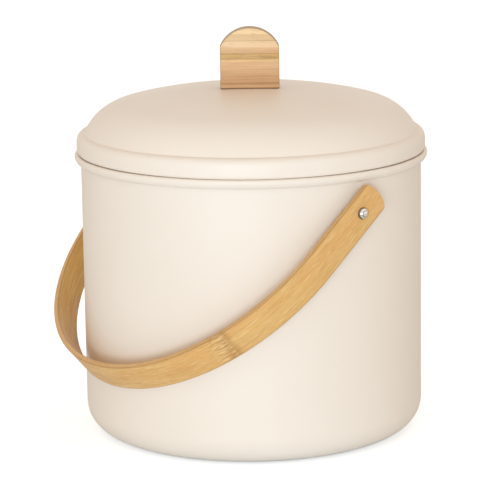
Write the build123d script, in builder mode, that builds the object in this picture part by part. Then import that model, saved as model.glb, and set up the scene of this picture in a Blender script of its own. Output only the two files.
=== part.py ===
from math import acos, atan2, cos, degrees, hypot, radians, sin, sqrt, tan
import os

from build123d import *

# Kitchen compost bin: a drawn steel pail with a bamboo strip bail, a plastic bucket that hangs
# inside it, and a domed steel lid with a bamboo knob, a seal and a charcoal filter under it.
# All sizes are in millimetres. Z is up, X runs along the bail's pivot axis, and the origin is
# the centre of the pail's flat base.

# Pail, drawn from one sheet
pail_radius = 110.0
pail_sheet = 0.8
rim_height = 182.95
base_corner_radius = 19.0
base_groove_radius = 62.0
base_groove_width = 8.0
base_groove_depth = 1.2

# Rolled rim of the pail
rim_bend_radius = 1.2
rim_flat = 1.95
curl_top_radius = 1.7
curl_under_radius = 4.6
curl_under_turn = 66.0

# Bail, one bent strip
bail_width = 21.4
bail_thickness = 3.5
bail_leg = 42.0
bail_overhang = 17.2
bail_end_crown = 2.8
bail_end_corner = 4.0
bail_edge_radius = 0.6
bail_rim_clearance = 1.0
pivot_drop = 24.45
wall_rest_gap = 0.3

# Rivets that the bail turns on
rivet_radius = 2.0
rivet_head_radius = 3.8
rivet_head_height = 3.0
rivet_tail_radius = 3.1
rivet_tail_height = 1.2
spacer_radius = 6.5
burr_radius = 4.6
burr_thickness = 0.8
running_fit = 0.06
side_play = 0.15
fixed_fit = 0.05

# Bucket that hangs in the pail
bucket_wall = 1.8
bucket_side_gap = 4.6
bucket_taper = 5.0
bucket_corner_radius = 12.0
bucket_floor_gap = 2.0
flange_overhang = 1.4
flange_root_radius = 1.0
ledge_depth = 10.0
ledge_thickness = 2.4
ledge_drop = 24.0
ledge_edge_radius = 1.0
seat_gap = 0.1

# Lid shell, pressed from one sheet, as seen from the outside going from its edge to the middle
lid_sheet = 0.8
lid_setback = 1.45
lid_edge_lift = 0.6
lid_tuck_radius = 3.0
lid_tuck_turn = 45.0
lid_skirt = 3.5
shoulder_side_radius = 15.2
shoulder_side_turn = 12.6
shoulder_top_radius = 4.1
shoulder_top_turn = 80.9
crease_radius = 0.8
crease_turn = 69.0
flank_radius = 33.5
flank_turn = 50.6
knee_radius = 226.0
knee_turn = 12.4

# Collar and seal under the lid
collar_sheet = 0.8
collar_depth = 8.0
collar_bend_radius = 1.0
collar_weld_width = 3.4
collar_weld_gap = 0.05
seal_thickness = 1.4
seal_sleeve = 1.1
seal_grip = 5.6
seal_bucket_clearance = 0.3
seal_edge_radius = 0.4
seal_margin = 0.5

# Knob, an arch sawn from laminated board, and its two screws
lid_turn = 55.0
knob_width = 38.0
knob_height = 39.4
knob_thickness = 10.0
knob_arch_rise = 12.2
knob_foot_radius = 0.8
knob_shoulder_radius = 2.5
knob_edge_radius = 0.5
knob_seat_gap = 0.02
screw_spacing = 20.0
screw_radius = 2.0
screw_bite = 15.0
screw_hole_clearance = 0.2
screw_head_radius = 3.5
screw_head_height = 2.4
screw_driver_radius = 1.3
screw_driver_depth = 1.4
washer_radius = 4.0
washer_thickness = 0.8

# Filter holder under the lid
holder_radius = 60.0
holder_wall = 1.6
holder_drop = 5.9
holder_depth = 14.0
boss_radius = 17.0
boss_top = 3.0
boss_seat_gap = 0.05
recess_clearance = 0.6
holder_edge_radius = 0.6

# Filter cover, which twists into three slots in the holder's wall
cover_plate = 2.0
cover_side_gap = 0.4
cover_rim_height = 3.8
lug_height = 2.4
lug_length = 8.0
lug_reach = 1.4
lug_gap = 0.35
lug_rise = 1.0
lug_count = 3
unlock_turn = 22.0
grille_slots = 24
grille_slot_width = 3.0
grille_inner_radius = 15.0
grille_margin = 6.0
grip_length = 34.0
grip_width = 5.0
grip_height = 6.0
grip_edge_radius = 1.5

# Charcoal filter pad
pad_side_gap = 0.4
pad_floor_gap = 0.4
pad_edge_radius = 1.2

# Heights and radii that several pieces share
pail_bore = pail_radius - pail_sheet
bead_radius = pail_bore + rim_bend_radius + rim_flat + curl_top_radius
pivot_height = rim_height - pivot_drop
bail_half_span = bead_radius + bail_rim_clearance
bail_reach = bail_leg + bail_half_span
bail_half_width = bail_width / 2
pivot_axis = Axis((0, 0, pivot_height), (1, 0, 0))

flange_under = rim_height + seat_gap
flange_top = flange_under + bucket_wall
flange_radius = pail_bore + flange_overhang
bucket_top_radius = pail_bore - bucket_side_gap
bucket_base_radius = bucket_top_radius - bucket_taper
bucket_base_height = pail_sheet + bucket_floor_gap
bucket_mouth_radius = bucket_top_radius - bucket_wall

seal_under = flange_top + seat_gap
collar_step_height = seal_under + seal_thickness
seal_sleeve_radius = bucket_mouth_radius - seal_bucket_clearance
collar_radius = seal_sleeve_radius - seal_sleeve

lid_edge_radius = bead_radius - lid_setback
lid_edge_height = rim_height + lid_edge_lift

os.makedirs("parts", exist_ok=True)


def heading(angle):
    """Unit direction in a plane, at an angle in degrees from its X axis."""
    return (cos(radians(angle)), sin(radians(angle)))


def upright_plane(angle, height=0):
    """Plane that stands on the Z axis, with its X axis level at an angle in degrees from X."""
    return Plane(
        origin=(0, 0, height), x_dir=(*heading(angle), 0), z_dir=(*heading(angle - 90), 0)
    )


# Pail shell: its inner face is drawn from the centre of the base to the end of the curl, and
# the sheet's thickness lies outside that line
with BuildPart() as pail_shell:
    with BuildSketch(Plane.XZ):
        with BuildLine():
            inner_corner = base_corner_radius - pail_sheet
            groove_in = base_groove_radius - base_groove_width / 2
            groove_out = base_groove_radius + base_groove_width / 2
            floor_inner = Line((0, pail_sheet), (groove_in, pail_sheet))
            groove = ThreePointArc(
                floor_inner @ 1,
                (base_groove_radius, pail_sheet + base_groove_depth),
                (groove_out, pail_sheet),
            )
            floor_outer = Line(groove @ 1, (pail_bore - inner_corner, pail_sheet))
            corner = JernArc(floor_outer @ 1, (1, 0), inner_corner, 90)
            wall = Line(corner @ 1, (pail_bore, rim_height - rim_bend_radius))
            rim_bend = JernArc(wall @ 1, (0, 1), rim_bend_radius, -90)
            flat = Line(rim_bend @ 1, rim_bend @ 1 + Vector(rim_flat, 0))
            curl_top = JernArc(flat @ 1, (1, 0), curl_top_radius, -90)
            JernArc(curl_top @ 1, (0, -1), curl_under_radius, -curl_under_turn)
            offset(amount=pail_sheet, side=Side.RIGHT)
        make_face()
    revolve(axis=Axis.Z)
    # Two holes in the wall for the rivets
    with BuildSketch(Plane.YZ):
        with Locations((0, pivot_height)):
            Circle(rivet_radius + fixed_fit)
    extrude(amount=bead_radius, both=True, mode=Mode.SUBTRACT)
pail_shell.part.label = "pail_shell"
export_step(pail_shell.part, "parts/pail_shell.step")

# Bail strip: two straight legs and a half circle, hanging so that the lower inner edge of its
# crown rests on the wall. Its own plane has X along the pivot axis and Y towards the crown.
bail_hang = acos((pail_radius + wall_rest_gap) / hypot(bail_reach, bail_half_width)) - atan2(
    bail_half_width, bail_reach
)
bail_plane = Plane(
    origin=(0, 0, pivot_height), x_dir=(-1, 0, 0), z_dir=(0, -sin(bail_hang), cos(bail_hang))
)
bail_side_plane = Plane(
    origin=(0, 0, pivot_height), x_dir=bail_plane.y_dir, z_dir=(1, 0, 0)
)
with BuildPart() as bail_strip:
    with BuildSketch(bail_plane):
        with BuildLine():
            first_leg = Line((-bail_half_span, -bail_overhang), (-bail_half_span, bail_leg))
            crown = JernArc(first_leg @ 1, (0, 1), bail_half_span, -180)
            Line(crown @ 1, (bail_half_span, -bail_overhang))
            offset(amount=bail_thickness, side=Side.LEFT)
        make_face()
    extrude(amount=bail_half_width, both=True)
    # Side outline of the strip: its ends are shallow arcs with small corners. It runs on past
    # the crown.
    past_crown = bail_reach + bail_thickness + bail_half_width
    end_corner = bail_end_crown - bail_overhang
    with BuildSketch(bail_side_plane):
        with BuildLine():
            end_arc = ThreePointArc(
                (end_corner, bail_half_width), (-bail_overhang, 0), (end_corner, -bail_half_width)
            )
            Polyline(
                end_arc @ 1,
                (past_crown, -bail_half_width),
                (past_crown, bail_half_width),
                end_arc @ 0,
            )
        side_outline = make_face()
        end_corners = side_outline.vertices().group_by(Axis(pivot_axis.position, bail_plane.y_dir))
        fillet(end_corners[0], bail_end_corner)
    extrude(amount=bail_reach, both=True, mode=Mode.INTERSECT)
    strip_sides = bail_strip.faces().filter_by(bail_plane)
    fillet(strip_sides.edges().filter_by(Axis.X, reverse=True), bail_edge_radius)
    # Bore for the rivets through both legs
    with BuildSketch(Plane.YZ):
        with Locations((0, pivot_height)):
            Circle(rivet_radius + running_fit)
    extrude(amount=bail_reach, both=True, mode=Mode.SUBTRACT)
bail_strip.part.label = "bail_strip"
export_step(bail_strip.part, "parts/bail_strip.step")

# Rivets, spacers and inner burrs, one set on each side
head_under = bail_half_span + bail_thickness + side_play
spacer_outer = bail_half_span - side_play
burr_outer = sqrt(pail_bore**2 - burr_radius**2) - fixed_fit
burr_inner = burr_outer - burr_thickness
for side, sign in (("right", 1), ("left", -1)):
    # Plane through the pivot axis with X pointing outwards
    rivet_plane = Plane(
        origin=(0, 0, pivot_height), x_dir=(sign, 0, 0), z_dir=(0, -sign, 0)
    )
    with BuildPart() as rivet:
        with BuildSketch(rivet_plane):
            with BuildLine():
                head = TangentArc(
                    (head_under + rivet_head_height, 0),
                    (head_under, rivet_head_radius),
                    tangent=(0, 1),
                )
                tail = TangentArc(
                    (burr_inner - rivet_tail_height, 0),
                    (burr_inner, rivet_tail_radius),
                    tangent=(0, 1),
                )
                Polyline(
                    head @ 1, (head_under, rivet_radius), (burr_inner, rivet_radius), tail @ 1
                )
                Line(tail @ 0, head @ 0)
            make_face()
        revolve(axis=pivot_axis)
    rivet.part.label = "rivet_" + side
    export_step(rivet.part, f"parts/rivet_{side}.step")

    # Spacer: its inner end is hollowed to the wall's curve
    with BuildPart() as spacer:
        with BuildSketch(Plane.YZ.offset(sign * spacer_outer)):
            with Locations((0, pivot_height)):
                Circle(spacer_radius)
                Circle(rivet_radius + fixed_fit, mode=Mode.SUBTRACT)
        extrude(amount=-sign * (spacer_outer - pail_bore))
        with BuildSketch(Plane.XY):
            Circle(pail_radius + fixed_fit)
        extrude(amount=rim_height, mode=Mode.SUBTRACT)
    spacer.part.label = "spacer_" + side
    export_step(spacer.part, f"parts/spacer_{side}.step")

    with BuildPart() as burr:
        with BuildSketch(Plane.YZ.offset(sign * burr_outer)):
            with Locations((0, pivot_height)):
                Circle(burr_radius)
                Circle(rivet_radius + fixed_fit, mode=Mode.SUBTRACT)
        extrude(amount=-sign * burr_thickness)
    burr.part.label = "rivet_burr_" + side
    export_step(burr.part, f"parts/rivet_burr_{side}.step")

# Inner bucket: its outer face is drawn from the floor to the flange that hangs on the rim
with BuildPart() as inner_bucket:
    with BuildSketch(Plane.XZ):
        with BuildLine():
            FilletPolyline(
                (0, bucket_base_height),
                (bucket_base_radius, bucket_base_height),
                (bucket_top_radius, flange_under),
                (flange_radius, flange_under),
                radius=[bucket_corner_radius, flange_root_radius],
            )
            offset(amount=bucket_wall, side=Side.LEFT)
        make_face()
    revolve(axis=Axis.Z)
    # Two ledges inside, for the fingers that lift the bucket out
    ledge_top = flange_under - ledge_drop
    ledge_share = (ledge_top - bucket_base_height) / (flange_under - bucket_base_height)
    ledge_wall_radius = bucket_base_radius + bucket_taper * ledge_share
    ledge_inner = ledge_wall_radius - bucket_wall - ledge_depth
    with BuildSketch(Plane.XY.offset(ledge_top)):
        Circle(ledge_wall_radius - bucket_wall / 2)
        Rectangle(2 * pail_radius, 2 * ledge_inner, mode=Mode.SUBTRACT)
    extrude(amount=-ledge_thickness)
    ledge_edges = inner_bucket.edges().filter_by(Axis.X).filter_by_position(
        Axis.Z, ledge_top - ledge_thickness, ledge_top
    )
    fillet(ledge_edges, ledge_edge_radius)
inner_bucket.part.label = "inner_bucket"
export_step(inner_bucket.part, "parts/inner_bucket.step")

# Lid shell: its outer face is drawn from the tucked edge over the shoulder, the crease, the
# flank, the knee and the crown to the middle. The angles are directions of travel.
tuck_side = lid_tuck_radius * (1 - cos(radians(lid_tuck_turn)))
side_heading = 90
shoulder_heading = side_heading + shoulder_side_turn
crease_heading = shoulder_heading + shoulder_top_turn
flank_heading = crease_heading - crease_turn
knee_heading = flank_heading + flank_turn
crown_heading = knee_heading + knee_turn
with BuildPart() as lid_shell:
    with BuildSketch(Plane.XZ):
        with BuildLine():
            tuck = JernArc(
                (lid_edge_radius - tuck_side, lid_edge_height),
                heading(side_heading - lid_tuck_turn),
                lid_tuck_radius,
                lid_tuck_turn,
            )
            skirt = Line(tuck @ 1, tuck @ 1 + Vector(0, lid_skirt))
            shoulder_side = JernArc(
                skirt @ 1, heading(side_heading), shoulder_side_radius, shoulder_side_turn
            )
            shoulder_top = JernArc(
                shoulder_side @ 1,
                heading(shoulder_heading),
                shoulder_top_radius,
                shoulder_top_turn,
            )
            crease = JernArc(
                shoulder_top @ 1, heading(crease_heading), crease_radius, -crease_turn
            )
            flank = JernArc(crease @ 1, heading(flank_heading), flank_radius, flank_turn)
            knee = JernArc(flank @ 1, heading(knee_heading), knee_radius, knee_turn)
            crown_slope = radians(180 - crown_heading)
            crown_rise = (knee @ 1).X * tan(crown_slope / 2)
            apex_height = (knee @ 1).Y + crown_rise
            crown_radius = (knee @ 1).X / sin(crown_slope)
            TangentArc(knee @ 1, (0, apex_height), tangent=heading(crown_heading))
            crease_height = (crease @ 0).Y
            ridge_radius = (crease @ 0).X
            offset(amount=lid_sheet, side=Side.LEFT)
        make_face()
    revolve(axis=Axis.Z)
    # Two holes for the knob's screws
    with BuildSketch(Plane.XY.offset(lid_edge_height)):
        with Locations(Rotation(0, 0, lid_turn)):
            with GridLocations(screw_spacing, 0, 2, 1):
                Circle(screw_radius + screw_hole_clearance)
    extrude(until=Until.LAST, mode=Mode.SUBTRACT)
lid_shell.part.label = "lid_shell"
export_step(lid_shell.part, "parts/lid_shell.step")

# Collar: a pressed ring welded under the shoulder. It plugs into the bucket's mouth and its
# step bears on the seal.
weld_height = crease_height - lid_sheet - collar_weld_gap
collar_outer_radius = ridge_radius + collar_bend_radius
with BuildPart() as lid_collar:
    with BuildSketch(Plane.XZ):
        with BuildLine():
            FilletPolyline(
                (collar_radius, collar_step_height - collar_depth),
                (collar_radius, collar_step_height),
                (collar_outer_radius, collar_step_height),
                (collar_outer_radius, weld_height),
                (collar_outer_radius - collar_weld_width, weld_height),
                radius=collar_bend_radius,
            )
            offset(amount=collar_sheet, side=Side.LEFT)
        make_face()
    revolve(axis=Axis.Z)
lid_collar.part.label = "lid_collar"
export_step(lid_collar.part, "parts/lid_collar.step")

# Seal: a silicone ring with a sleeve round the collar and a flange under its step
with BuildPart() as seal_ring:
    with BuildSketch(Plane.XZ):
        with BuildLine():
            seal_bore = collar_radius + fixed_fit
            seal_top = collar_step_height - fixed_fit
            seal_low = seal_top - seal_grip
            seal_outer = collar_outer_radius - seal_margin
            FilletPolyline(
                (seal_bore, seal_low),
                (seal_sleeve_radius, seal_low),
                (seal_sleeve_radius, seal_under),
                (seal_outer, seal_under),
                (seal_outer, seal_top),
                (seal_bore, seal_top),
                radius=[
                    seal_edge_radius,
                    seal_edge_radius,
                    seal_edge_radius,
                    seal_edge_radius,
                    seal_edge_radius,
                    collar_bend_radius - fixed_fit,
                ],
                close=True,
            )
        make_face()
    revolve(axis=Axis.Z)
seal_ring.part.label = "seal_ring"
export_step(seal_ring.part, "parts/seal_ring.step")

# Knob: an arched plate that stands on the crown, turned with the lid
knob_base = apex_height + knob_seat_gap
knob_plane = upright_plane(lid_turn, knob_base)
with BuildPart() as lid_knob:
    with BuildSketch(knob_plane):
        with BuildLine():
            arch_foot = knob_height - knob_arch_rise
            arch = ThreePointArc(
                (knob_width / 2, arch_foot), (0, knob_height), (-knob_width / 2, arch_foot)
            )
            Polyline(arch @ 1, (-knob_width / 2, 0), (knob_width / 2, 0), arch @ 0)
        knob_outline = make_face()
        fillet(knob_outline.vertices().group_by(Axis.Z)[0], knob_foot_radius)
        fillet(knob_outline.vertices().group_by(Axis.Z)[-1], knob_shoulder_radius)
    extrude(amount=knob_thickness / 2, both=True)
    fillet(lid_knob.edges().filter_by(knob_plane), knob_edge_radius)
    with BuildSketch(Plane.XY.offset(knob_base)):
        with Locations(Rotation(0, 0, lid_turn)):
            with GridLocations(screw_spacing, 0, 2, 1):
                Circle(screw_radius + fixed_fit)
    extrude(amount=screw_bite + fixed_fit, mode=Mode.SUBTRACT)
lid_knob.part.label = "lid_knob"
export_step(lid_knob.part, "parts/lid_knob.step")

# Filter holder: a dish whose boss is clamped to the crown by the knob's screws
boss_height = (
    apex_height - lid_sheet - boss_radius**2 / (2 * crown_radius) - boss_seat_gap
)
holder_top = boss_height - holder_drop
holder_bottom = holder_top - holder_depth
holder_ceiling = holder_top - holder_wall
holder_bore = holder_radius - holder_wall
clamp_height = boss_height - boss_top
cover_top = holder_bottom + cover_plate
lug_bottom = cover_top + lug_rise
lug_angle = degrees(lug_length / holder_bore)
lug_gap_angle = degrees(lug_gap / holder_bore)
with BuildPart() as filter_holder:
    with BuildSketch(Plane.XY.offset(holder_bottom)):
        Circle(holder_radius)
    extrude(amount=holder_depth)
    fillet(filter_holder.faces().sort_by(Axis.Z)[-1].edges(), holder_edge_radius)
    with BuildSketch(Plane.XY.offset(holder_bottom)):
        Circle(holder_bore)
    extrude(amount=holder_ceiling - holder_bottom, mode=Mode.SUBTRACT)
    with BuildSketch(Plane.XY.offset(holder_ceiling)):
        Circle(boss_radius)
    extrude(amount=boss_height - holder_ceiling)
    with BuildSketch(Plane.XY.offset(holder_ceiling)):
        with Locations(Rotation(0, 0, lid_turn)):
            with GridLocations(screw_spacing, 0, 2, 1):
                Circle(washer_radius + recess_clearance)
    extrude(amount=clamp_height - holder_ceiling, mode=Mode.SUBTRACT)
    with BuildSketch(Plane.XY.offset(clamp_height)):
        with Locations(Rotation(0, 0, lid_turn)):
            with GridLocations(screw_spacing, 0, 2, 1):
                Circle(screw_radius + screw_hole_clearance)
    extrude(amount=boss_top, mode=Mode.SUBTRACT)
    # Three L-shaped slots: the lug goes up the entry and turns along the run
    run_angle = lug_angle + unlock_turn + 2 * lug_gap_angle
    entry_angle = lug_angle + 2 * lug_gap_angle
    for lug in range(lug_count):
        lug_direction = lid_turn + lug * 360 / lug_count
        run_start = lug_direction - lug_angle / 2 - lug_gap_angle
        entry_start = run_start + unlock_turn
        with BuildSketch(upright_plane(run_start)):
            with Locations((holder_radius - holder_wall / 2, lug_bottom + lug_height / 2)):
                Rectangle(2 * holder_wall, lug_height + 2 * lug_gap)
        revolve(axis=Axis.Z, revolution_arc=run_angle, mode=Mode.SUBTRACT)
        with BuildSketch(upright_plane(entry_start)):
            with Locations((holder_radius - holder_wall / 2, holder_bottom)):
                Rectangle(
                    2 * holder_wall,
                    lug_bottom + lug_height - holder_bottom,
                    align=(Align.CENTER, Align.MIN),
                )
        revolve(axis=Axis.Z, revolution_arc=entry_angle, mode=Mode.SUBTRACT)
filter_holder.part.label = "filter_holder"
export_step(filter_holder.part, "parts/filter_holder.step")

# Filter cover: a slotted disc with a low rim, three lugs and a bar to turn it by
cover_radius = holder_bore - cover_side_gap
cover_rim_inner = cover_radius - holder_wall
slot_outer = cover_rim_inner - grille_margin
with BuildPart() as filter_cover:
    with BuildSketch(Plane.XY.offset(holder_bottom)):
        Circle(cover_radius)
    extrude(amount=cover_plate + cover_rim_height)
    with BuildSketch(Plane.XY.offset(cover_top)):
        Circle(cover_rim_inner)
    extrude(amount=cover_rim_height, mode=Mode.SUBTRACT)
    with BuildSketch(Plane.XY.offset(holder_bottom)):
        with PolarLocations((grille_inner_radius + slot_outer) / 2, grille_slots):
            SlotOverall(slot_outer - grille_inner_radius, grille_slot_width)
    extrude(amount=cover_plate, mode=Mode.SUBTRACT)
    with BuildSketch(Plane.XY.offset(holder_bottom)):
        SlotOverall(grip_length, grip_width, rotation=lid_turn)
    extrude(amount=-grip_height)
    fillet(filter_cover.faces().sort_by(Axis.Z)[0].edges(), grip_edge_radius)
    for lug in range(lug_count):
        lug_start = lid_turn + lug * 360 / lug_count - lug_angle / 2
        with BuildSketch(upright_plane(lug_start)):
            with Locations((cover_rim_inner + holder_wall / 2, lug_bottom)):
                Rectangle(
                    holder_wall / 2 + cover_side_gap + lug_reach,
                    lug_height,
                    align=(Align.MIN, Align.MIN),
                )
        revolve(axis=Axis.Z, revolution_arc=lug_angle)
filter_cover.part.label = "filter_cover"
export_step(filter_cover.part, "parts/filter_cover.step")

# Charcoal pad: a round of felt between the cover and the holder's ceiling
with BuildPart() as charcoal_filter:
    with BuildSketch(Plane.XY.offset(cover_top + pad_floor_gap)):
        Circle(cover_rim_inner - pad_side_gap)
    extrude(amount=holder_ceiling - cover_top - 2 * pad_floor_gap)
    fillet(charcoal_filter.edges(), pad_edge_radius)
charcoal_filter.part.label = "charcoal_filter"
export_step(charcoal_filter.part, "parts/charcoal_filter.step")

# Screws and washers that clamp the knob, the lid and the filter holder together
for number, sign in ((1, -1), (2, 1)):
    screw_x = sign * screw_spacing / 2 * heading(lid_turn)[0]
    screw_y = sign * screw_spacing / 2 * heading(lid_turn)[1]
    head_top = clamp_height - washer_thickness
    with BuildPart() as knob_screw:
        with BuildSketch(Plane.XY.offset(head_top)):
            with Locations((screw_x, screw_y)):
                Circle(screw_head_radius)
        extrude(amount=-screw_head_height)
        fillet(knob_screw.edges().sort_by(Axis.Z)[0], screw_head_height / 2)
        with BuildSketch(Plane.XY.offset(head_top)):
            with Locations((screw_x, screw_y)):
                Circle(screw_radius)
        extrude(amount=knob_base + screw_bite - head_top)
        chamfer(knob_screw.edges().sort_by(Axis.Z)[-1], screw_radius / 2)
        with BuildSketch(Plane.XY.offset(head_top - screw_head_height)):
            with Locations((screw_x, screw_y)):
                RegularPolygon(screw_driver_radius, 6)
        extrude(amount=screw_driver_depth, mode=Mode.SUBTRACT)
    knob_screw.part.label = f"knob_screw_{number}"
    export_step(knob_screw.part, f"parts/knob_screw_{number}.step")

    with BuildPart() as knob_washer:
        with BuildSketch(Plane.XY.offset(head_top)):
            with Locations((screw_x, screw_y)):
                Circle(washer_radius)
                Circle(screw_radius + screw_hole_clearance, mode=Mode.SUBTRACT)
        extrude(amount=washer_thickness)
    knob_washer.part.label = f"knob_washer_{number}"
    export_step(knob_washer.part, f"parts/knob_washer_{number}.step")

print("bail hangs", round(degrees(bail_hang), 3), "degrees below level")
print("pivot height", round(pivot_height, 3), "crown reach", round(bail_reach, 3))
print("lid apex", round(apex_height, 3), "knob top", round(knob_base + knob_height, 3))
print("crease radius", round(ridge_radius, 3), "crown radius", round(crown_radius, 1))
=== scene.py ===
from math import asin, atan2, cos, degrees, hypot, pi, radians, sin

import bpy
from mathutils import Matrix, Quaternion, Vector, noise


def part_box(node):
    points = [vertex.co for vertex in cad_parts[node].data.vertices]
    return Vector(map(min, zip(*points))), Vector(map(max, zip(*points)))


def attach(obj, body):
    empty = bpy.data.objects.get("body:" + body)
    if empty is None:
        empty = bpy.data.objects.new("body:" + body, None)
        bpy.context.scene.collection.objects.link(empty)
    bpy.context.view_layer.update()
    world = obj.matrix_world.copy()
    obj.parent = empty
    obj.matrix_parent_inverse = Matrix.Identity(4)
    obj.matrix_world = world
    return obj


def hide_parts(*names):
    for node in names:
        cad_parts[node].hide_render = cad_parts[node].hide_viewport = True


# Kitchen compost bin: a powder coated pail and lid, a bent bamboo bail on bright rivets, a
# laminated bamboo knob, and the bucket, seal and charcoal filter inside. Lengths are in metres.
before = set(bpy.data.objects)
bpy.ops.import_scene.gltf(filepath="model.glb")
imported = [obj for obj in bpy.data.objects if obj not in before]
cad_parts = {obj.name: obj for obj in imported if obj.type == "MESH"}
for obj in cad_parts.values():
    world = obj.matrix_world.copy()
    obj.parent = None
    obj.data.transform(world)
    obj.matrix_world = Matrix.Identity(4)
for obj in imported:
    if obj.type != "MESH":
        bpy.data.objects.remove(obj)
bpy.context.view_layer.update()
MM = 0.001

# Faces round a revolved piece
AROUND = 192
SMALL_AROUND = 48

# Pail and its rolled rim
PAIL_RADIUS = 110 * MM
SHEET = 0.8 * MM
RIM_HEIGHT = 182.95 * MM
BASE_CORNER = 19 * MM
GROOVE_RADIUS = 62 * MM
GROOVE_WIDTH = 8 * MM
GROOVE_DEPTH = 1.2 * MM
RIM_BEND = 1.2 * MM
RIM_FLAT = 1.95 * MM
CURL_TOP = 1.7 * MM
CURL_UNDER = 4.6 * MM
CURL_UNDER_TURN = 66

# Bail strip
PIVOT_HEIGHT = 158.5 * MM
BAIL_HANG = radians(41.619)
BAIL_HALF_SPAN = 115.05 * MM
BAIL_LEG = 42 * MM
BAIL_OVERHANG = 17.2 * MM
BAIL_HALF_WIDTH = 10.7 * MM
BAIL_THICKNESS = 3.5 * MM
BAIL_END_CROWN = 2.8 * MM
BAIL_END_CORNER = 4 * MM
BAIL_EDGE = 0.6 * MM
BAIL_BORE = 2.06 * MM
BAIL_BORE_START = 100 * MM
BAIL_BORE_DEPTH = 30 * MM

# The bamboo's own nodes, along the strip from the pivot on the right
STRIP_NODES = (114.5 * MM, 403 * MM)

# Rivets
RIVET_RADIUS = 2 * MM
RIVET_HEAD = 3.8 * MM
RIVET_HEAD_HEIGHT = 3 * MM
RIVET_TAIL = 3.1 * MM
RIVET_TAIL_HEIGHT = 1.2 * MM
RIVET_HEAD_UNDER = 118.7 * MM
RIVET_TAIL_UNDER = 108.25 * MM
RIVET_EDGE = 0.15 * MM

# Lid, from its tucked edge to the middle
LID_EDGE_RADIUS = 112.6 * MM
LID_EDGE_HEIGHT = 183.55 * MM
LID_TUCK = 3 * MM
LID_TUCK_TURN = 45
LID_SKIRT = 3.5 * MM
SHOULDER_SIDE = 15.2 * MM
SHOULDER_SIDE_TURN = 12.6
SHOULDER_TOP = 4.1 * MM
SHOULDER_TOP_TURN = 80.9
CREASE = 0.8 * MM
CREASE_TURN = 69
FLANK = 33.5 * MM
FLANK_TURN = 50.6
KNEE = 226 * MM
KNEE_TURN = 12.4
HEM_SAG = 0.4 * MM

# Knob and the holes of its screws
LID_TURN = radians(55)
KNOB_FRONT = Vector((sin(LID_TURN), -cos(LID_TURN), 0))
KNOB_WIDTH = 38 * MM
KNOB_THICKNESS = 10 * MM
KNOB_ARCH_RISE = 12.2 * MM
KNOB_FOOT = 0.8 * MM
KNOB_SHOULDER = 2.5 * MM
KNOB_EDGE = 0.5 * MM
SCREW_SPACING = 20 * MM
SCREW_HOLE = 2.05 * MM
SCREW_HOLE_DEPTH = 15.05 * MM

# Charcoal felt: what it leaves of its solid for the uneven faces, and how uneven they are
PAD_AROUND = 96
PAD_MARGIN = 0.3 * MM
PAD_EDGE = 2 * MM
PAD_RINGS = 8
PAD_LUMPS_PER_METRE = 60
PAD_LUMP_HEIGHT = 0.25 * MM

# Floor, and the height that the lamp looks at
FLOOR_SIZE = 12
MIDDLE_HEIGHT = 120 * MM

# The photograph's camera, fitted to the rim, the sides and the base of the pail
CAMERA_AZIMUTH = 55
CAMERA_ELEVATION = 12.019
CAMERA_ROLL = -0.802
CAMERA_DISTANCE = 1.7105
CAMERA_AIM = Vector((-0.85, -1.21, 115.82)) * MM
CAMERA_SENSOR = 36
CAMERA_LENS = 188.55


# Modelling ------------------------------------------------------------------


def start_from_nothing():
    """Leaves edit mode and selects nothing."""
    if bpy.context.object and bpy.context.object.mode != "OBJECT":
        bpy.ops.object.mode_set(mode="OBJECT")
    bpy.ops.object.select_all(action="DESELECT")


class Pen:
    """Draws a section in the plane of two directions, by extruding one vertex along straight
    lines and spinning it along arcs. Headings are degrees from the first direction."""

    def __init__(self, name, across, up, place, heading, origin=(0, 0, 0)):
        start_from_nothing()
        self.across, self.up, self.heading = Vector(across), Vector(up), heading
        self.point = Vector(origin) + place[0] * self.across + place[1] * self.up
        bpy.ops.mesh.primitive_plane_add(size=MM, enter_editmode=True)
        self.piece = bpy.context.object
        self.piece.name = self.piece.data.name = name
        bpy.ops.mesh.select_mode(type="VERT")
        bpy.ops.mesh.merge(type="CENTER")
        bpy.ops.transform.translate(value=self.point)

    def direction(self, heading):
        return cos(radians(heading)) * self.across + sin(radians(heading)) * self.up

    def line(self, length):
        step = length * self.direction(self.heading)
        bpy.ops.mesh.extrude_region_move(TRANSFORM_OT_translate={"value": step})
        self.point = self.point + step

    def arc(self, radius, turn, steps):
        side = 90 if turn > 0 else -90
        centre = self.point + radius * self.direction(self.heading + side)
        axis = self.across.cross(self.up)
        bpy.ops.mesh.spin(steps=steps, angle=-radians(turn), center=centre, axis=axis)
        self.heading += turn
        self.point = centre - radius * self.direction(self.heading + side)

    def revolve(self, steps, centre=(0, 0, 0), axis=(0, 0, 1)):
        bpy.ops.mesh.select_all(action="SELECT")
        bpy.ops.mesh.spin(steps=steps, angle=2 * pi, center=centre, axis=axis)
        return self.close()

    def fill(self):
        bpy.ops.mesh.select_all(action="SELECT")
        bpy.ops.mesh.edge_face_add()
        return self.close()

    def close(self):
        bpy.ops.mesh.select_all(action="SELECT")
        bpy.ops.mesh.remove_doubles(threshold=MM / 500)
        bpy.ops.mesh.normals_make_consistent(inside=False)
        bpy.ops.object.mode_set(mode="OBJECT")
        return self.piece


def make_active(piece):
    start_from_nothing()
    piece.select_set(True)
    bpy.context.view_layer.objects.active = piece


def turn_faces(piece, place, wanted):
    """Turns all faces over if the one nearest to a place doesn't look the wanted way."""
    nearest = min(piece.data.polygons, key=lambda face: (face.center - Vector(place)).length)
    if nearest.normal.dot(Vector(wanted)) < 0:
        make_active(piece)
        bpy.ops.object.mode_set(mode="EDIT")
        bpy.ops.mesh.select_all(action="SELECT")
        bpy.ops.mesh.flip_normals()
        bpy.ops.object.mode_set(mode="OBJECT")


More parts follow.
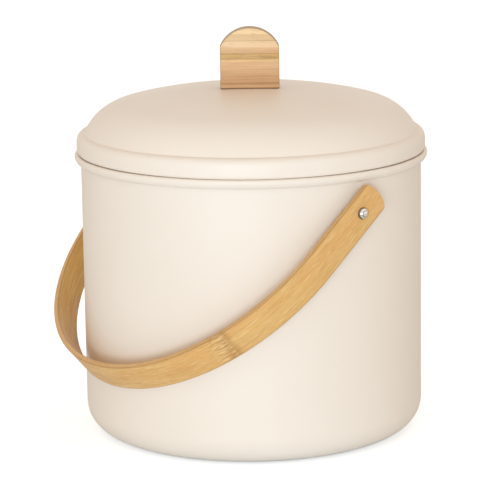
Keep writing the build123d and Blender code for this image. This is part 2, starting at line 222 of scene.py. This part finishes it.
def modify(piece, kind, **settings):
    """Adds a modifier with its settings and applies it."""
    make_active(piece)
    modifier = piece.modifiers.new(kind.lower(), kind)
    for name, value in settings.items():
        setattr(modifier, name, value)
    bpy.ops.object.modifier_apply(modifier=modifier.name)


def drill(piece, place, direction, radius, depth):
    """A round hole that starts at a place and runs along a direction."""
    start_from_nothing()
    direction = Vector(direction).normalized()
    middle = Vector(place) + direction * depth / 2
    turn = direction.to_track_quat("Z", "Y").to_euler()
    bpy.ops.mesh.primitive_cylinder_add(
        vertices=SMALL_AROUND, radius=radius, depth=depth, location=middle, rotation=turn
    )
    bit = bpy.context.object
    modify(piece, "BOOLEAN", object=bit, operation="DIFFERENCE", solver="EXACT")
    bpy.data.objects.remove(bit)


def round_edges(piece, width, segments):
    """Rounds each edge that turns by more than 50 degrees."""
    limit = {"limit_method": "ANGLE", "angle_limit": radians(50)}
    modify(piece, "BEVEL", width=width, segments=segments, **limit)


def smooth(piece, angle=40):
    make_active(piece)
    bpy.ops.object.shade_smooth_by_angle(angle=radians(angle))


def dress(piece, material, body, slot, *nodes):
    """Gives a finished piece its material and its body, and hides the nodes it stands for."""
    piece.data.materials.clear()
    piece.data.materials.append(material)
    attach(piece, body)
    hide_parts(*nodes)


# Materials ------------------------------------------------------------------


def add(tree, kind, inputs=None, **settings):
    """A new node with its settings, and with a value or a link on each named input."""
    made = tree.nodes.new("ShaderNode" + kind)
    for name, value in settings.items():
        setattr(made, name, value)
    for name, value in (inputs or {}).items():
        if isinstance(value, bpy.types.NodeSocket):
            tree.links.new(value, made.inputs[name])
        else:
            made.inputs[name].default_value = value
    return made


def blend_colours(tree, share, first, second, way="MIX"):
    """A mix of two colours by a share. The node's sockets 6 and 7 are its two colours."""
    mixed = add(tree, "Mix", {0: share, 6: first, 7: second}, data_type="RGBA", blend_type=way)
    return mixed.outputs[2]


def spread(tree, value, low, high, start=0.0, end=1.0):
    """Stretches the part of a value between low and high to run from start to end."""
    ranged = {"Value": value, "From Min": low, "From Max": high, "To Min": start, "To Max": end}
    return add(tree, "MapRange", ranged).outputs[0]


def combine(tree, way, first, second):
    return add(tree, "Math", {0: first, 1: second}, operation=way).outputs[0]


def magnitude(tree, value):
    return add(tree, "Math", {0: value}, operation="ABSOLUTE").outputs[0]


def vectors(tree, way, first, *second):
    return add(tree, "VectorMath", dict(enumerate((first, *second))), operation=way).outputs


def tint(tree, base, mask, amount, colour):
    """Lays a colour over a base where a mask is 1, at most by an amount."""
    return blend_colours(tree, spread(tree, mask, 0, 1, 0, amount), base, (*colour, 1))


def new_group(name, inputs, outputs):
    """An empty node group, with its input and output nodes."""
    group = bpy.data.node_groups.new(name, "ShaderNodeTree")
    for label, kind in inputs:
        group.interface.new_socket(label, in_out="INPUT", socket_type="NodeSocket" + kind)
    for label, kind in outputs:
        group.interface.new_socket(label, in_out="OUTPUT", socket_type="NodeSocket" + kind)
    return group, group.nodes.new("NodeGroupInput"), group.nodes.new("NodeGroupOutput")


def make_fibre_group():
    """Bamboo fibre: the place runs along the grain in X and across it in Y and Z."""
    group, given, result = new_group(
        "bamboo_fibre",
        [("Place", "Vector")],
        [(name, "Float") for name in ("Fibre", "Streak", "Line", "Pore", "Dash", "Fleck")],
    )
    # For each output the stretch of its noise, its detail, and the part of it that is used
    grains = (
        ((30, 1500, 1500), 3.0, 0.34, 0.66),
        ((6, 180, 180), 2.0, 0.34, 0.66),
        ((42, 700, 700), 2.0, 0.52, 0.68),
        ((150, 1200, 1200), 1.0, 0.6, 0.72),
        ((100, 1300, 1300), 1.0, 0.58, 0.68),
        ((180, 1250, 1250), 0.0, 0.36, 0.66),
    )
    for number, (stretch, detail, low, high) in enumerate(grains):
        place = vectors(group, "MULTIPLY", given.outputs[0], stretch)[0]
        field = {"Vector": place, "Scale": 1.0, "Detail": detail, "Roughness": 0.6}
        field = add(group, "TexNoise", field).outputs["Fac"]
        group.links.new(spread(group, field, low, high), result.inputs[number])
    return group


def make_texture_group():
    """Fine moulded or sprayed surface texture, as a height, and a soft blotchy mask."""
    group, given, result = new_group(
        "fine_texture",
        [("Place", "Vector"), ("Size", "Float")],
        [("Height", "Float"), ("Blotch", "Float")],
    )
    scale = combine(group, "DIVIDE", 1.0, given.outputs[1])
    bumps = {"Vector": given.outputs[0], "Scale": scale, "Detail": 2.0, "Roughness": 0.5}
    group.links.new(add(group, "TexNoise", bumps).outputs["Fac"], result.inputs[0])
    clouds = {"Vector": given.outputs[0], "Scale": 14.0, "Detail": 3.0, "Roughness": 0.55}
    cloud = add(group, "TexNoise", clouds).outputs["Fac"]
    group.links.new(spread(group, cloud, 0.3, 0.7), result.inputs[1])
    return group


fibre_group = make_fibre_group()
texture_group = make_texture_group()


def new_material(name):
    material = bpy.data.materials.new(name)
    material.use_nodes = True
    tree = material.node_tree
    return material, tree, tree.nodes["Principled BSDF"]


def set_shader(tree, shader, **values):
    """Sets or links the shader's inputs. An underscore stands for a space in an input's name."""
    for name, value in values.items():
        socket = shader.inputs[name.replace("_", " ")]
        if isinstance(value, bpy.types.NodeSocket):
            tree.links.new(value, socket)
        else:
            socket.default_value = value


def object_place(tree):
    return add(tree, "TexCoord").outputs["Object"]


def fine_texture(tree, place, size):
    return add(tree, "Group", {"Place": place, "Size": size}, node_tree=texture_group).outputs


def bamboo_fibre(tree, place):
    return add(tree, "Group", {"Place": place}, node_tree=fibre_group).outputs


def raised(tree, height, distance, strength):
    """A normal for a bump of a height, as deep as a distance."""
    bump = {"Height": height, "Distance": distance, "Strength": strength}
    return add(tree, "Bump", bump).outputs[0]


def textured(name, light, dark, roughness, size, depth):
    """A painted or moulded finish: a soft blotchy colour and a fine bump of a size and depth."""
    material, tree, shader = new_material(name)
    fine = fine_texture(tree, object_place(tree), size)
    colour = blend_colours(tree, fine["Blotch"], (*dark, 1), (*light, 1))
    rough = spread(tree, fine["Blotch"], 0, 1, roughness + 0.03, roughness - 0.03)
    normal = raised(tree, fine["Height"], depth, 0.3)
    set_shader(tree, shader, Base_Color=colour, Roughness=rough, Normal=normal)
    return material


def make_bamboo_strip():
    """Split bamboo on the strip's own places: long fibres, a node mark with flecks beyond it,
    a second node on the far side, a browner inner face and thin dark edges of painted shade."""
    material, tree, shader = new_material("bamboo_strip")
    place = add(tree, "Attribute", attribute_name="strip_place").outputs["Vector"]
    length, across, depth = add(tree, "SeparateXYZ", {0: place}).outputs
    fibre = bamboo_fibre(tree, place)
    clouds = vectors(tree, "MULTIPLY", place, (16, 70, 70))[0]
    clouds = add(tree, "TexNoise", {"Vector": clouds, "Scale": 1.0, "Detail": 1.0}).outputs["Fac"]
    clouds = spread(tree, clouds, 0.38, 0.62)
    base = blend_colours(tree, clouds, (0.755, 0.40, 0.122, 1), (0.785, 0.465, 0.155, 1))
    base = tint(tree, base, fibre["Streak"], 0.35, (0.67, 0.345, 0.10))
    base = tint(tree, base, fibre["Fibre"], 0.4, (0.85, 0.56, 0.25))
    base = tint(tree, base, fibre["Line"], 0.34, (0.52, 0.245, 0.06))
    base = tint(tree, base, fibre["Pore"], 0.36, (0.45, 0.21, 0.055))
    base = tint(tree, base, fibre["Dash"], 0.42, (0.93, 0.70, 0.36))
    wander = spread(tree, fibre["Streak"], 0, 1, -0.6 * MM, 0.6 * MM)
    for node in STRIP_NODES:
        # The node's dark mark
        beyond = combine(tree, "SUBTRACT", combine(tree, "ADD", length, wander), node)
        mark = spread(tree, magnitude(tree, beyond), 2.4 * MM, 0.5 * MM)
        base = tint(tree, base, mark, 0.32, (0.40, 0.215, 0.07))
        # A brown patch that begins at the mark
        patch = spread(tree, beyond, 9 * MM, 5 * MM)
        patch = combine(tree, "MULTIPLY", patch, spread(tree, beyond, -0.5 * MM, 1.5 * MM))
        base = tint(tree, base, patch, 0.5, (0.46, 0.22, 0.06))
        # Light and dark flecks in the patch and past it
        flecked = spread(tree, beyond, 15 * MM, 10 * MM)
        flecked = combine(tree, "MULTIPLY", flecked, spread(tree, beyond, 1 * MM, 3 * MM))
        light = combine(tree, "MULTIPLY", flecked, spread(tree, fibre["Fleck"], 0.62, 0.8))
        base = tint(tree, base, light, 0.6, (0.92, 0.68, 0.36))
        dark = combine(tree, "MULTIPLY", flecked, spread(tree, fibre["Fleck"], 0.4, 0.1))
        base = tint(tree, base, dark, 0.35, (0.42, 0.21, 0.06))
    # Inner face, thin dark edges of painted shade on the outer face, and the strip's narrow sides
    inner = spread(tree, depth, -1.2 * MM, -1.6 * MM)
    browner = blend_colours(tree, 1.0, base, (0.87, 0.90, 0.83, 1), "MULTIPLY")
    base = blend_colours(tree, inner, base, browner)
    from_middle = magnitude(tree, across)
    # Painted shade: a thin dark line on the rounded edges, where they turn away from the light
    painted_shade_band = spread(tree, from_middle, 9.5 * MM, 10.2 * MM)
    skin = spread(tree, magnitude(tree, depth), 0.9 * MM, 1.3 * MM)
    edge = combine(tree, "MULTIPLY", painted_shade_band, skin)
    base = tint(tree, base, edge, 0.5, (0.36, 0.18, 0.055))
    side = spread(tree, from_middle, 10.2 * MM, 10.6 * MM)
    base = tint(tree, base, side, 0.35, (0.45, 0.23, 0.075))
    rough = spread(tree, fibre["Line"], 0, 1, 0.4, 0.55)
    normal = raised(tree, fibre["Fibre"], 0.06 * MM, 0.5)
    set_shader(tree, shader, Base_Color=base, Roughness=rough, Normal=normal)
    set_shader(tree, shader, Coat_Weight=0.12, Coat_Roughness=0.3)
    return material


def make_laminated_bamboo():
    """Laminated bamboo board: layers of different canes, one above the other, with long fibres
    across the knob's width, and a darker sawn edge."""
    material, tree, shader = new_material("laminated_bamboo")
    turn = {"Vector": object_place(tree), "Rotation": (0, 0, -LID_TURN)}
    turned = add(tree, "Mapping", turn).outputs[0]
    fibre = bamboo_fibre(tree, turned)
    low, high = KNOB_BASE, KNOB_BASE + KNOB_HEIGHT
    height = add(tree, "SeparateXYZ", {0: turned}).outputs["Z"]
    wander = spread(tree, fibre["Streak"], 0, 1, -0.3 * MM, 0.3 * MM)
    height = combine(tree, "ADD", height, wander)
    layer = add(tree, "ValToRGB", {0: spread(tree, height, low, high)})
    ramp = layer.color_ramp
    # Upper limit of each layer above the foot, in millimetres, and its colour
    layers = (
        (2.6, (0.66, 0.38, 0.18)),
        (4.2, (0.445, 0.22, 0.08)),
        (8.8, (0.569, 0.292, 0.1225)),
        (12.9, (0.632, 0.343, 0.153)),
        (17.8, (0.705, 0.415, 0.20)),
        (19.0, (0.83, 0.52, 0.23)),
        (20.3, (0.52, 0.285, 0.066)),
        (21.9, (0.60, 0.335, 0.082)),
        (23.1, (0.52, 0.28, 0.066)),
        (26.7, (0.725, 0.42, 0.205)),
        (30.6, (0.86, 0.58, 0.335)),
        (31.2, (0.57, 0.365, 0.175)),
        (35.2, (0.745, 0.49, 0.255)),
        (39.4, (0.90, 0.63, 0.345)),
    )
    # Each colour is even up to a short way, in millimetres, from the next layer
    blur = 0.25
    stops = []
    below = 0.0
    for top, colour in layers:
        stops += [(below + blur, colour), (top - blur, colour)]
        below = top
    while len(ramp.elements) < len(stops):
        ramp.elements.new(0.5)
    for element, (position, colour) in zip(ramp.elements, stops):
        element.position = position * MM / KNOB_HEIGHT
        element.color = (*colour, 1)
    base = tint(tree, layer.outputs[0], fibre["Fibre"], 0.2, (0.93, 0.70, 0.42))
    base = tint(tree, base, fibre["Line"], 0.4, (0.52, 0.29, 0.12))
    base = tint(tree, base, fibre["Pore"], 0.3, (0.45, 0.25, 0.1))
    # Wavy figure in the olive band halfway up
    olive = magnitude(tree, combine(tree, "SUBTRACT", height, low + 21.3 * MM))
    olive = spread(tree, olive, 2.2 * MM, 1.4 * MM)
    wavy = vectors(tree, "MULTIPLY", turned, (60, 60, 420))[0]
    wavy = {"Vector": wavy, "Scale": 1.0, "Detail": 2.0, "Distortion": 0.8}
    wavy = add(tree, "TexNoise", wavy).outputs["Fac"]
    wavy = combine(tree, "MULTIPLY", olive, spread(tree, wavy, 0.52, 0.6))
    base = tint(tree, base, wavy, 0.5, (0.38, 0.22, 0.06))
    # Sawn edge, where the surface looks away from the front and the back
    surface = add(tree, "NewGeometry").outputs["Normal"]
    looks = vectors(tree, "DOT_PRODUCT", surface, KNOB_FRONT)["Value"]
    sawn = spread(tree, magnitude(tree, looks), 0.985, 0.8)
    base = tint(tree, base, sawn, 0.75, (0.30, 0.215, 0.135))
    # Shadow line at the foot
    foot = spread(tree, height, low + 0.9 * MM, low + 0.4 * MM)
    base = tint(tree, base, foot, 0.85, (0.20, 0.105, 0.045))
    normal = raised(tree, fibre["Fibre"], 0.05 * MM, 0.4)
    set_shader(tree, shader, Base_Color=base, Roughness=0.5, Normal=normal)
    return material


def make_bright_steel():
    """Plated steel, a little blotchy."""
    material, tree, shader = new_material("bright_steel")
    fine = fine_texture(tree, object_place(tree), 0.6 * MM)
    dull, bright = (0.56, 0.55, 0.53, 1), (0.68, 0.67, 0.65, 1)
    colour = blend_colours(tree, fine["Blotch"], dull, bright)
    rough = spread(tree, fine["Height"], 0.3, 0.7, 0.16, 0.26)
    set_shader(tree, shader, Base_Color=colour, Metallic=1.0, Roughness=rough)
    return material


def make_rivet_steel():
    """Bright steel with a painted dark reflection as a ring on the rivet's head, and painted dark
    reflection and shade near the head's rim.
    """
    material, tree, shader = new_material("rivet_steel")
    place = object_place(tree)
    fine = fine_texture(tree, place, 0.5 * MM)
    from_axis = vectors(tree, "SUBTRACT", place, (0, 0, PIVOT_HEIGHT))[0]
    from_axis = vectors(tree, "MULTIPLY", from_axis, (0, 1, 1))[0]
    from_axis = vectors(tree, "LENGTH", from_axis)["Value"]
    wander = spread(tree, fine["Height"], 0.3, 0.7, -0.25 * MM, 0.25 * MM)
    from_axis = combine(tree, "ADD", from_axis, wander)
    from_ring = magnitude(tree, combine(tree, "SUBTRACT", from_axis, 1.9 * MM))
    # Painted dark reflection, as a ring on the domed head
    ring = spread(tree, from_ring, 0.6 * MM, 0.2 * MM)
    # Painted dark reflection and shade near the head's rim, where it meets the strip
    rim = spread(tree, from_axis, 2.9 * MM, 3.4 * MM)
    colour = tint(tree, (0.86, 0.83, 0.77, 1), ring, 0.6, (0.22, 0.17, 0.11))
    colour = tint(tree, colour, rim, 0.9, (0.13, 0.10, 0.065))
    rough = spread(tree, rim, 0, 1, 0.14, 0.3)
    set_shader(tree, shader, Base_Color=colour, Metallic=1.0, Roughness=rough)
    return material


def make_charcoal_felt():
    """Black felt with a fluffy surface."""
    material, tree, shader = new_material("charcoal_felt")
    fluff = {"Vector": object_place(tree), "Scale": 700.0, "Detail": 6.0, "Roughness": 0.75}
    fluff = add(tree, "TexNoise", fluff).outputs["Fac"]
    dark, light = (0.012, 0.012, 0.013, 1), (0.06, 0.06, 0.062, 1)
    colour = blend_colours(tree, spread(tree, fluff, 0.35, 0.7), dark, light)
    normal = raised(tree, fluff, 0.6 * MM, 0.8)
    set_shader(tree, shader, Base_Color=colour, Roughness=0.95, Normal=normal, Sheen_Weight=0.3)
    return material


# Pieces ---------------------------------------------------------------------


def make_pail():
    """The pail's inner face from the middle of its floor to the end of the curl. Its sheet
    lies outside that face."""
    pen = Pen("pail", (1, 0, 0), (0, 0, 1), (0, SHEET), 0)
    groove_half = GROOVE_WIDTH / 2
    groove_arc = (groove_half**2 + GROOVE_DEPTH**2) / (2 * GROOVE_DEPTH)
    groove_turn = degrees(asin(groove_half / groove_arc))
    pen.line(GROOVE_RADIUS - groove_half)
    pen.heading = groove_turn
    pen.arc(groove_arc, -2 * groove_turn, 10)
    pen.heading = 0
    inner = PAIL_RADIUS - SHEET
    pen.line(inner - (BASE_CORNER - SHEET) - pen.point.x)
    pen.arc(BASE_CORNER - SHEET, 90, 20)
    pen.line(RIM_HEIGHT - RIM_BEND - pen.point.z)
    pen.arc(RIM_BEND, -90, 6)
    pen.line(RIM_FLAT)
    pen.arc(CURL_TOP, -90, 12)
    pen.arc(CURL_UNDER, -CURL_UNDER_TURN, 8)
    piece = pen.revolve(AROUND)
    turn_faces(piece, (inner, 0, RIM_HEIGHT / 2), (1, 0, 0))
    modify(piece, "SOLIDIFY", thickness=SHEET, offset=1, use_even_offset=True)
    smooth(piece)
    return piece


def make_lid():
    """The lid's outer face from its tucked edge to the middle. Its sheet lies under it. The
    rolled hem hangs a little lower below the knob's face."""
    tuck = LID_TUCK * (1 - cos(radians(LID_TUCK_TURN)))
    start = (LID_EDGE_RADIUS - tuck, LID_EDGE_HEIGHT)
    pen = Pen("lid", (1, 0, 0), (0, 0, 1), start, 90 - LID_TUCK_TURN)
    pen.arc(LID_TUCK, LID_TUCK_TURN, 5)
    pen.line(LID_SKIRT)
    pen.arc(SHOULDER_SIDE, SHOULDER_SIDE_TURN, 8)
    pen.arc(SHOULDER_TOP, SHOULDER_TOP_TURN, 12)
    pen.arc(CREASE, -CREASE_TURN, 8)
    pen.arc(FLANK, FLANK_TURN, 20)
    pen.arc(KNEE, KNEE_TURN, 12)
    slope = 180 - pen.heading
    pen.arc(pen.point.x / sin(radians(slope)), slope, 10)
    height = pen.point.z
    piece = pen.revolve(AROUND)
    turn_faces(piece, (LID_EDGE_RADIUS / 2, 0, height), (0, 0, 1))
    modify(piece, "SOLIDIFY", thickness=SHEET, offset=-1, use_even_offset=True)
    hem_top = LID_EDGE_HEIGHT + LID_TUCK + LID_SKIRT
    for vertex in piece.data.vertices:
        to_front = max(0, vertex.co.dot(KNOB_FRONT) / LID_EDGE_RADIUS) ** 3
        in_hem = min(1, max(0, hem_top - vertex.co.z) / LID_TUCK)
        vertex.co.z -= HEM_SAG * to_front * in_hem
    smooth(piece)
    return piece


def make_bail():
    """Half of the strip is drawn in its own plane, mirrored, thickened and drilled, then hung
    from the pivot."""
    end_arc = (BAIL_HALF_WIDTH**2 + BAIL_END_CROWN**2) / (2 * BAIL_END_CROWN)
    end_turn = degrees(asin((BAIL_HALF_WIDTH - BAIL_END_CORNER) / (end_arc - BAIL_END_CORNER)))
    start = (BAIL_LEG, -BAIL_HALF_WIDTH)
    pen = Pen("bail", (0, 1, 0), (0, 0, 1), start, 180, (BAIL_HALF_SPAN, 0, 0))
    corner_reach = (end_arc - BAIL_END_CORNER) * cos(radians(end_turn))
    straight = BAIL_LEG + BAIL_OVERHANG - end_arc + corner_reach
    pen.line(straight)
    pen.arc(BAIL_END_CORNER, end_turn - 90, 8)
    pen.arc(end_arc, -2 * end_turn, 16)
    pen.arc(BAIL_END_CORNER, end_turn - 90, 8)
    pen.line(straight)
    bpy.ops.mesh.select_all(action="SELECT")
    bpy.ops.mesh.edge_face_add()
    bpy.ops.object.mode_set(mode="OBJECT")
    piece = pen.piece
    # The edge at the leg's end is spun through the crown's first half
    for vertex in piece.data.vertices:
        vertex.select = abs(vertex.co.y - BAIL_LEG) < MM / 100
    for edge in piece.data.edges:
        edge.select = all(piece.data.vertices[v].select for v in edge.vertices)
    for face in piece.data.polygons:
        face.select = False
    bpy.ops.object.mode_set(mode="EDIT")
    bpy.ops.mesh.spin(steps=60, angle=-pi / 2, center=(0, BAIL_LEG, 0), axis=(0, 0, 1))
    piece = pen.close()
    modify(piece, "MIRROR", use_axis=(True, False, False), use_clip=True, merge_threshold=MM / 100)
    turn_faces(piece, (BAIL_HALF_SPAN, 0, 0), (1, 0, 0))
    modify(piece, "SOLIDIFY", thickness=BAIL_THICKNESS, offset=1, use_even_offset=True)
    round_edges(piece, BAIL_EDGE, 3)
    for side in (1, -1):
        start = (side * BAIL_BORE_START, 0, 0)
        drill(piece, start, (side, 0, 0), BAIL_BORE, BAIL_BORE_DEPTH)
    place_strip(piece)
    piece.data.transform(
        Matrix.Translation((0, 0, PIVOT_HEIGHT))
        @ Matrix.Rotation(pi, 4, "Z")
        @ Matrix.Rotation(-BAIL_HANG, 4, "X")
    )
    smooth(piece)
    return piece


def place_strip(piece):
    """Gives each point of the strip its place for the bamboo, in metres: along the strip from
    the pivot on the right, across its width, and outwards from the middle of its thickness."""
    middle = BAIL_HALF_SPAN + BAIL_THICKNESS / 2
    places = piece.data.attributes.new("strip_place", "FLOAT_VECTOR", "POINT")
    for vertex, spot in zip(piece.data.vertices, places.data):
        x, y, z = vertex.co
        if y > BAIL_LEG:
            along = BAIL_LEG + middle * atan2(y - BAIL_LEG, -x)
            depth = hypot(x, y - BAIL_LEG) - middle
        else:
            along = y if x < 0 else 2 * BAIL_LEG + pi * middle - y
            depth = abs(x) - middle
        spot.vector = (along, z, depth)


def make_knob():
    """An arched plate with its two screw holes."""
    arch = (KNOB_WIDTH**2 / 4 + KNOB_ARCH_RISE**2) / (2 * KNOB_ARCH_RISE)
    half = KNOB_WIDTH / 2
    lean = degrees(asin((half - KNOB_SHOULDER) / (arch - KNOB_SHOULDER)))
    shoulder = KNOB_HEIGHT - arch + (arch - KNOB_SHOULDER) * cos(radians(lean))
    width = Vector((cos(LID_TURN), sin(LID_TURN), 0))
    start = (KNOB_FOOT - half, 0)
    pen = Pen("knob", width, (0, 0, 1), start, 0, (0, 0, KNOB_BASE))
    pen.line(2 * (half - KNOB_FOOT))
    pen.arc(KNOB_FOOT, 90, 5)
    pen.line(shoulder - KNOB_FOOT)
    pen.arc(KNOB_SHOULDER, 90 - lean, 6)
    pen.arc(arch, 2 * lean, 40)
    pen.arc(KNOB_SHOULDER, 90 - lean, 6)
    pen.line(shoulder - KNOB_FOOT)
    pen.arc(KNOB_FOOT, 90, 5)
    piece = pen.fill()
    modify(piece, "SOLIDIFY", thickness=KNOB_THICKNESS, offset=0)
    round_edges(piece, KNOB_EDGE, 3)
    for side in (1, -1):
        place = side * SCREW_SPACING / 2 * width + Vector((0, 0, KNOB_BASE - MM))
        drill(piece, place, (0, 0, 1), SCREW_HOLE, SCREW_HOLE_DEPTH + MM)
    smooth(piece)
    return piece


def make_rivet(name, side):
    """A rivet with a domed head outside the strip and a closed tail inside the wall."""
    head = (RIVET_HEAD**2 + RIVET_HEAD_HEIGHT**2) / (2 * RIVET_HEAD_HEIGHT)
    tail = (RIVET_TAIL**2 + RIVET_TAIL_HEIGHT**2) / (2 * RIVET_TAIL_HEIGHT)
    start = (RIVET_HEAD_UNDER + RIVET_HEAD_HEIGHT, 0)
    pen = Pen(name, (side, 0, 0), (0, 0, 1), start, 90, (0, 0, PIVOT_HEIGHT))
    pen.arc(head, degrees(asin(RIVET_HEAD / head)), 14)
    pen.heading = -90
    pen.line(RIVET_HEAD - RIVET_RADIUS)
    pen.heading = 180
    pen.line(RIVET_HEAD_UNDER - RIVET_TAIL_UNDER)
    pen.heading = 90
    pen.line(RIVET_TAIL - RIVET_RADIUS)
    tail_turn = degrees(asin(RIVET_TAIL / tail))
    pen.heading = 270 - tail_turn
    pen.arc(tail, tail_turn, 8)
    piece = pen.revolve(SMALL_AROUND, (0, 0, PIVOT_HEIGHT), (1, 0, 0))
    round_edges(piece, RIVET_EDGE, 2)
    smooth(piece)
    return piece


def make_charcoal_pad():
    """A soft round of felt: a bevelled disc whose faces are a little uneven."""
    low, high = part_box("charcoal_filter")
    middle, size = (low + high) / 2, high - low
    start_from_nothing()
    radius, depth = size.x / 2 - PAD_MARGIN, size.z - 2 * PAD_MARGIN
    bpy.ops.mesh.primitive_cylinder_add(
        vertices=PAD_AROUND, radius=radius, depth=depth, location=middle
    )
    piece = bpy.context.object
    piece.name = piece.data.name = "charcoal_pad"
    bpy.ops.object.transform_apply(location=True, rotation=True, scale=True)
    bpy.ops.object.mode_set(mode="EDIT")
    bpy.ops.mesh.select_all(action="DESELECT")
    bpy.ops.object.mode_set(mode="OBJECT")
    for face in piece.data.polygons:
        face.select = abs(face.normal.z) > 0.9
    bpy.ops.object.mode_set(mode="EDIT")
    bpy.ops.mesh.select_mode(type="FACE")
    for _ in range(PAD_RINGS):
        bpy.ops.mesh.inset(thickness=size.x / 20, depth=0)
    bpy.ops.mesh.select_all(action="SELECT")
    bpy.ops.object.mode_set(mode="OBJECT")
    round_edges(piece, PAD_EDGE, 4)
    for vertex in piece.data.vertices:
        rise = noise.noise(vertex.co * PAD_LUMPS_PER_METRE) * PAD_LUMP_HEIGHT
        vertex.co.z += rise if vertex.co.z > middle.z else -rise
    smooth(piece, 60)
    return piece


# The knob stands on the crown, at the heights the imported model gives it
knob_low, knob_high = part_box("lid_knob")
KNOB_BASE, KNOB_HEIGHT = knob_low.z, knob_high.z - knob_low.z

cream = textured(
    "cream_powder_coat", (0.91, 0.815, 0.73), (0.895, 0.795, 0.705), 0.45, 0.9 * MM, 0.03 * MM
)
strip_bamboo = make_bamboo_strip()
board_bamboo = make_laminated_bamboo()
steel = make_bright_steel()
rivet_steel = make_rivet_steel()
grey_plastic = textured(
    "grey_plastic", (0.37, 0.375, 0.365), (0.34, 0.345, 0.335), 0.5, 0.7 * MM, 0.03 * MM
)
black_plastic = textured(
    "black_plastic", (0.045, 0.045, 0.047), (0.035, 0.035, 0.037), 0.45, 0.7 * MM, 0.03 * MM
)
silicone = textured(
    "silicone", (0.72, 0.71, 0.68), (0.68, 0.67, 0.64), 0.55, 0.5 * MM, 0.01 * MM
)
felt = make_charcoal_felt()

dress(make_pail(), cream, "pail", "powder_coat", "pail_shell")
dress(make_lid(), cream, "lid", "powder_coat", "lid_shell")
dress(make_bail(), strip_bamboo, "bail", "bamboo_strip", "bail_strip")
dress(make_knob(), board_bamboo, "lid", "laminated_bamboo", "lid_knob")
dress(make_rivet("right_rivet", 1), rivet_steel, "pail", "bright_steel", "rivet_right")
dress(make_rivet("left_rivet", -1), rivet_steel, "pail", "bright_steel", "rivet_left")
pad = make_charcoal_pad()
dress(pad, felt, "lid", "charcoal_felt", "charcoal_filter")

for node, material in (
    ("lid_collar", cream),
    ("spacer_right", steel),
    ("spacer_left", steel),
    ("rivet_burr_right", steel),
    ("rivet_burr_left", steel),
    ("knob_screw_1", steel),
    ("knob_screw_2", steel),
    ("knob_washer_1", steel),
    ("knob_washer_2", steel),
    ("inner_bucket", grey_plastic),
    ("filter_holder", black_plastic),
    ("filter_cover", black_plastic),
    ("seal_ring", silicone),
):
    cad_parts[node].data.materials.clear()
    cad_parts[node].data.materials.append(material)


# Floor, lights and camera -----------------------------------------------------


def toward(azimuth, elevation):
    """Direction from the bin to a place round it, from -Y at azimuth 0 to +X at azimuth 90."""
    turn, rise = radians(azimuth), radians(elevation)
    return Vector((sin(turn) * cos(rise), -cos(turn) * cos(rise), sin(rise)))


def make_floor():
    """A white floor that keeps the bin's shadow. Seen by the camera it is as white as the
    world behind it."""
    start_from_nothing()
    bpy.ops.mesh.primitive_plane_add(size=FLOOR_SIZE)
    floor = bpy.context.object
    floor.name = "floor"
    material, tree, shader = new_material("white_floor")
    set_shader(tree, shader, Base_Color=(0.86, 0.91, 0.96, 1), Roughness=0.9)
    seen = add(tree, "LightPath").outputs["Is Camera Ray"]
    glow = spread(tree, seen, 0, 1, 0.0, 0.47)
    set_shader(tree, shader, Emission_Color=(1, 1, 1, 1), Emission_Strength=glow)
    floor.data.materials.append(material)


def make_world():
    """White behind the bin for the camera, in metal and in glass, and a softer, warm light
    on it."""
    world = bpy.data.worlds.new("studio")
    bpy.context.scene.world = world
    world.use_nodes = True
    tree = world.node_tree
    tree.nodes.clear()
    path = add(tree, "LightPath").outputs
    seen = combine(tree, "MAXIMUM", path["Is Camera Ray"], path["Is Glossy Ray"])
    seen = combine(tree, "MAXIMUM", seen, path["Is Transmission Ray"])
    direction = add(tree, "TexCoord").outputs["Generated"]
    height = add(tree, "SeparateXYZ", {0: direction}).outputs["Z"]
    horizon, zenith = (0.68, 0.59, 0.494, 1), (0.762, 0.68, 0.585, 1)
    light = blend_colours(tree, spread(tree, height, 0.0, 0.7), horizon, zenith)
    colour = blend_colours(tree, seen, light, (1, 1, 1, 1))
    background = add(tree, "Background", {"Color": colour, "Strength": 1.0})
    output = add(tree, "OutputWorld")
    tree.links.new(background.outputs[0], output.inputs[0])


def make_softbox(name, azimuth, elevation, distance, width, height, power, colour):
    """An area lamp that looks at the middle of the bin."""
    start_from_nothing()
    away = toward(azimuth, elevation)
    place = Vector((0, 0, MIDDLE_HEIGHT)) + distance * away
    bpy.ops.object.light_add(type="AREA", location=place)
    lamp = bpy.context.object
    lamp.name = name
    lamp.rotation_euler = away.to_track_quat("Z", "Y").to_euler()
    lamp.data.shape = "RECTANGLE"
    lamp.data.size = width
    lamp.data.size_y = height
    lamp.data.energy = power
    lamp.data.color = colour


def make_camera():
    """A long lens, a little above the bin and rolled a little."""
    away = toward(CAMERA_AZIMUTH, CAMERA_ELEVATION)
    bpy.ops.object.camera_add(location=CAMERA_AIM + CAMERA_DISTANCE * away)
    camera = bpy.context.object
    camera.data.sensor_width = CAMERA_SENSOR
    camera.data.lens = CAMERA_LENS
    roll = Quaternion((0, 0, 1), radians(CAMERA_ROLL))
    camera.rotation_euler = (away.to_track_quat("Z", "Y") @ roll).to_euler()
    bpy.context.scene.camera = camera


make_floor()
make_world()
make_softbox(
    "front_softbox", azimuth=49, elevation=2.5, distance=1.7, width=0.9, height=0.35,
    power=11.9, colour=(0.71, 0.885, 1.0),
)
make_camera()
bpy.context.scene.view_settings.view_transform = "Standard"
